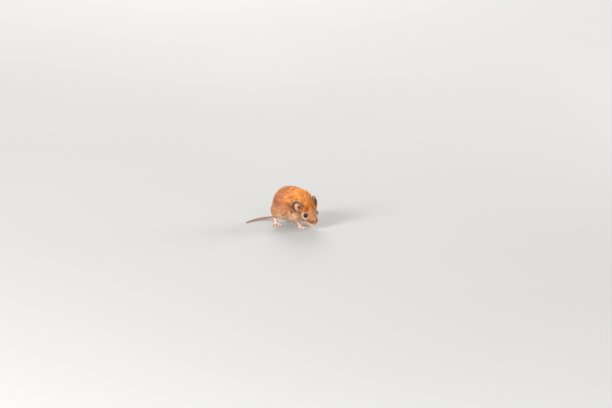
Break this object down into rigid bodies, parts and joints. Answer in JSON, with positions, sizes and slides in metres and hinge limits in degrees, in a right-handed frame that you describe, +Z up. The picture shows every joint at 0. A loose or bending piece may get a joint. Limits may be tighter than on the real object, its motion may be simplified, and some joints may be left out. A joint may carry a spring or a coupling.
{
  "type": "bank vole",
  "caption": "Life-size chestnut bank vole, a small field mouse, hunched on its four feet with its head lowered and its tail laid out behind.",
  "frame": {"origin": "on the floor, under the middle of the box that holds the whole animal", "axes": "+X the way the body faces, +Y the animal's left, +Z up"},
  "size_m": [0.0652, 0.04, 0.0362],
  "materials": {
    "coat": "short dense chestnut fur, redder along the back and greyer on the flanks",
    "pale_coat": "short pale buff-grey fur of the lower legs",
    "foot": "thin pinkish skin with very short pale hairs",
    "ear": "thin skin with fine short hairs, brown behind and pale pink inside",
    "tail": "ringed skin with short hairs, dark above and pale below",
    "nose": "moist bare skin",
    "eye": "wet and very glossy, near black",
    "claw": "translucent pale horn"
  },
  "bodies": {
    "root": {"belly": "coat", "chest": "coat", "claw_fore_left_1": "claw", "claw_fore_left_2": "claw", "claw_fore_left_3": "claw", "claw_fore_left_4": "claw", "claw_fore_right_1": "claw", "claw_fore_right_2": "claw", "claw_fore_right_3": "claw", "claw_fore_right_4": "claw", "claw_hind_left_1": "claw", "claw_hind_left_2": "claw", "claw_hind_left_3": "claw", "claw_hind_left_4": "claw", "claw_hind_left_5": "claw", "claw_hind_right_1": "claw", "claw_hind_right_2": "claw", "claw_hind_right_3": "claw", "claw_hind_right_4": "claw", "claw_hind_right_5": "claw", "ear_left": "ear", "ear_right": "ear", "eye_left": "eye", "eye_right": "eye", "fore_foot_left": "foot", "fore_foot_right": "foot", "forearm_left": "pale_coat", "forearm_right": "pale_coat", "head": "coat", "hind_foot_left": "foot", "hind_foot_right": "foot", "neck": "coat", "nose": "nose", "rump": "coat", "shank_left": "pale_coat", "shank_right": "pale_coat", "tail_middle": "tail", "tail_root": "tail", "tail_tip": "tail", "thigh_left": "coat", "thigh_right": "coat", "upper_arm_left": "coat", "upper_arm_right": "coat"}
  },
  "joints": []
}
